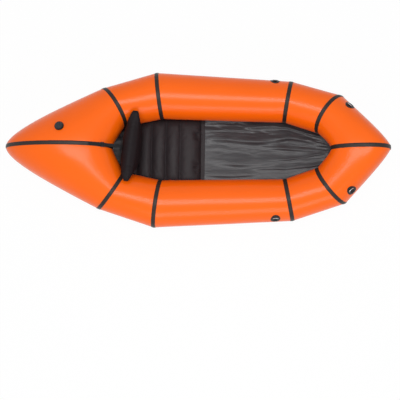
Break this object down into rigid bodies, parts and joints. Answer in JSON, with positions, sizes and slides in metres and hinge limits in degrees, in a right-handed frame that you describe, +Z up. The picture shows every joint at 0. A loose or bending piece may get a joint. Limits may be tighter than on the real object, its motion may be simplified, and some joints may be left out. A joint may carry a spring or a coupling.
{
  "type": "packraft",
  "caption": "Inflatable packraft with an upturned bow, a long tapered stern, taped tube seams, lashing rings, an inflation valve, a ribbed seat and a folding backrest.",
  "frame": {"origin": "centre of the hull's length and width, on the surface that the hull stands on", "axes": "+X to the bow, +Y to port, +Z up"},
  "size_m": [2.4, 0.994, 0.4034],
  "materials": {
    "hull_fabric": "satin",
    "seam_tape": "satin",
    "floor_fabric": "satin",
    "seat_fabric": "matte",
    "rest_fabric": "matte",
    "webbing": "matte",
    "plastic": "satin",
    "rubber": "matte",
    "steel": "polished"
  },
  "bodies": {
    "hull": {"stern_panel_left": "hull_fabric", "stern_panel_right": "hull_fabric", "rear_quarter_panel_left": "hull_fabric", "rear_quarter_panel_right": "hull_fabric", "side_panel_left": "hull_fabric", "side_panel_right": "hull_fabric", "front_quarter_panel_left": "hull_fabric", "front_quarter_panel_right": "hull_fabric", "bow_panel_left": "hull_fabric", "bow_panel_right": "hull_fabric", "aft_seam_tape_left": "seam_tape", "aft_seam_tape_right": "seam_tape", "rear_seam_tape_left": "seam_tape", "rear_seam_tape_right": "seam_tape", "front_seam_tape_left": "seam_tape", "front_seam_tape_right": "seam_tape", "fore_seam_tape_left": "seam_tape", "fore_seam_tape_right": "seam_tape", "stern_seam_tape": "seam_tape", "bow_seam_tape": "seam_tape", "floor_sheet": "floor_fabric", "floor_seam_tape_left": "seam_tape", "floor_seam_tape_right": "seam_tape", "seat_cushion": "seat_fabric", "seat_valve_body": "plastic", "backrest_hinge_flap": "webbing", "side_ring_patch_left": "rubber", "side_ring_patch_right": "rubber", "side_ring_keeper_left": "webbing", "side_ring_keeper_right": "webbing", "bow_ring_patch_left": "rubber", "bow_ring_patch_right": "rubber", "bow_ring_keeper_left": "webbing", "bow_ring_keeper_right": "webbing", "stern_strap_tab": "webbing", "strap_slider": "plastic", "backrest_strap": "webbing", "valve_flange": "hull_fabric", "valve_body": "plastic", "valve_spring": "steel", "valve_tether": "rubber"},
    "backrest": {"backrest_cushion": "rest_fabric", "backrest_valve_body": "plastic", "backrest_strap_patch": "rubber"},
    "backrest_cap": {"backrest_valve_cap": "plastic"},
    "seat_cap": {"seat_valve_cap": "plastic"},
    "main_cap": {"valve_cap": "plastic"},
    "main_stem": {"valve_stem": "rubber"},
    "side_ring_left": {"side_lashing_ring_left": "steel"},
    "side_ring_right": {"side_lashing_ring_right": "steel"},
    "bow_ring_left": {"bow_lashing_ring_left": "steel"},
    "bow_ring_right": {"bow_lashing_ring_right": "steel"}
  },
  "joints": [
    {"name": "backrest_fold", "type": "hinge", "parent": "hull", "child": "backrest", "pos_m": [-0.3948, 0, 0.088], "axis": [0.0872, 0.9962, 0], "range_deg": [0, 30], "deforming": ["backrest_strap"]},
    {"name": "backrest_cap_turn", "type": "hinge", "parent": "backrest", "child": "backrest_cap", "pos_m": [-0.45071, -0.04002, 0.14981], "axis": [-0.9711, -0.0216, -0.2378], "range_deg": [0, 90]},
    {"name": "seat_cap_turn", "type": "hinge", "parent": "hull", "child": "seat_cap", "pos_m": [-0.41978, 0.12025, 0.06516], "axis": [0.0194, 0.3097, 0.9506], "range_deg": [0, 90]},
    {"name": "main_cap_turn", "type": "hinge", "parent": "hull", "child": "main_cap", "pos_m": [-0.81512, 0.10139, 0.36848], "axis": [-0.0893, 0.3124, 0.9457], "range_deg": [0, 90]},
    {"name": "main_stem_press", "type": "slide", "parent": "hull", "child": "main_stem", "axis": [0.0893, -0.3124, -0.9457], "range_m": [0, 0.006], "stiffness_N_per_m": 300, "springref_m": -0.002, "deforming": ["valve_spring"]},
    {"name": "side_ring_left_swing", "type": "hinge", "parent": "hull", "child": "side_ring_left", "pos_m": [0.50638, 0.43508, 0.21136], "axis": [-0.9984, 0.0567, 0.0084], "range_deg": [-15, 110]},
    {"name": "side_ring_right_swing", "type": "hinge", "parent": "hull", "child": "side_ring_right", "pos_m": [0.50638, -0.43508, 0.21136], "axis": [0.9984, 0.0567, -0.0084], "range_deg": [-15, 110]},
    {"name": "bow_ring_left_swing", "type": "hinge", "parent": "hull", "child": "bow_ring_left", "pos_m": [0.95458, 0.2628, 0.30043], "axis": [-0.6846, 0.6907, -0.2332], "range_deg": [-15, 110]},
    {"name": "bow_ring_right_swing", "type": "hinge", "parent": "hull", "child": "bow_ring_right", "pos_m": [0.95458, -0.2628, 0.30043], "axis": [0.6846, 0.6907, 0.2332], "range_deg": [-15, 110]}
  ]
}
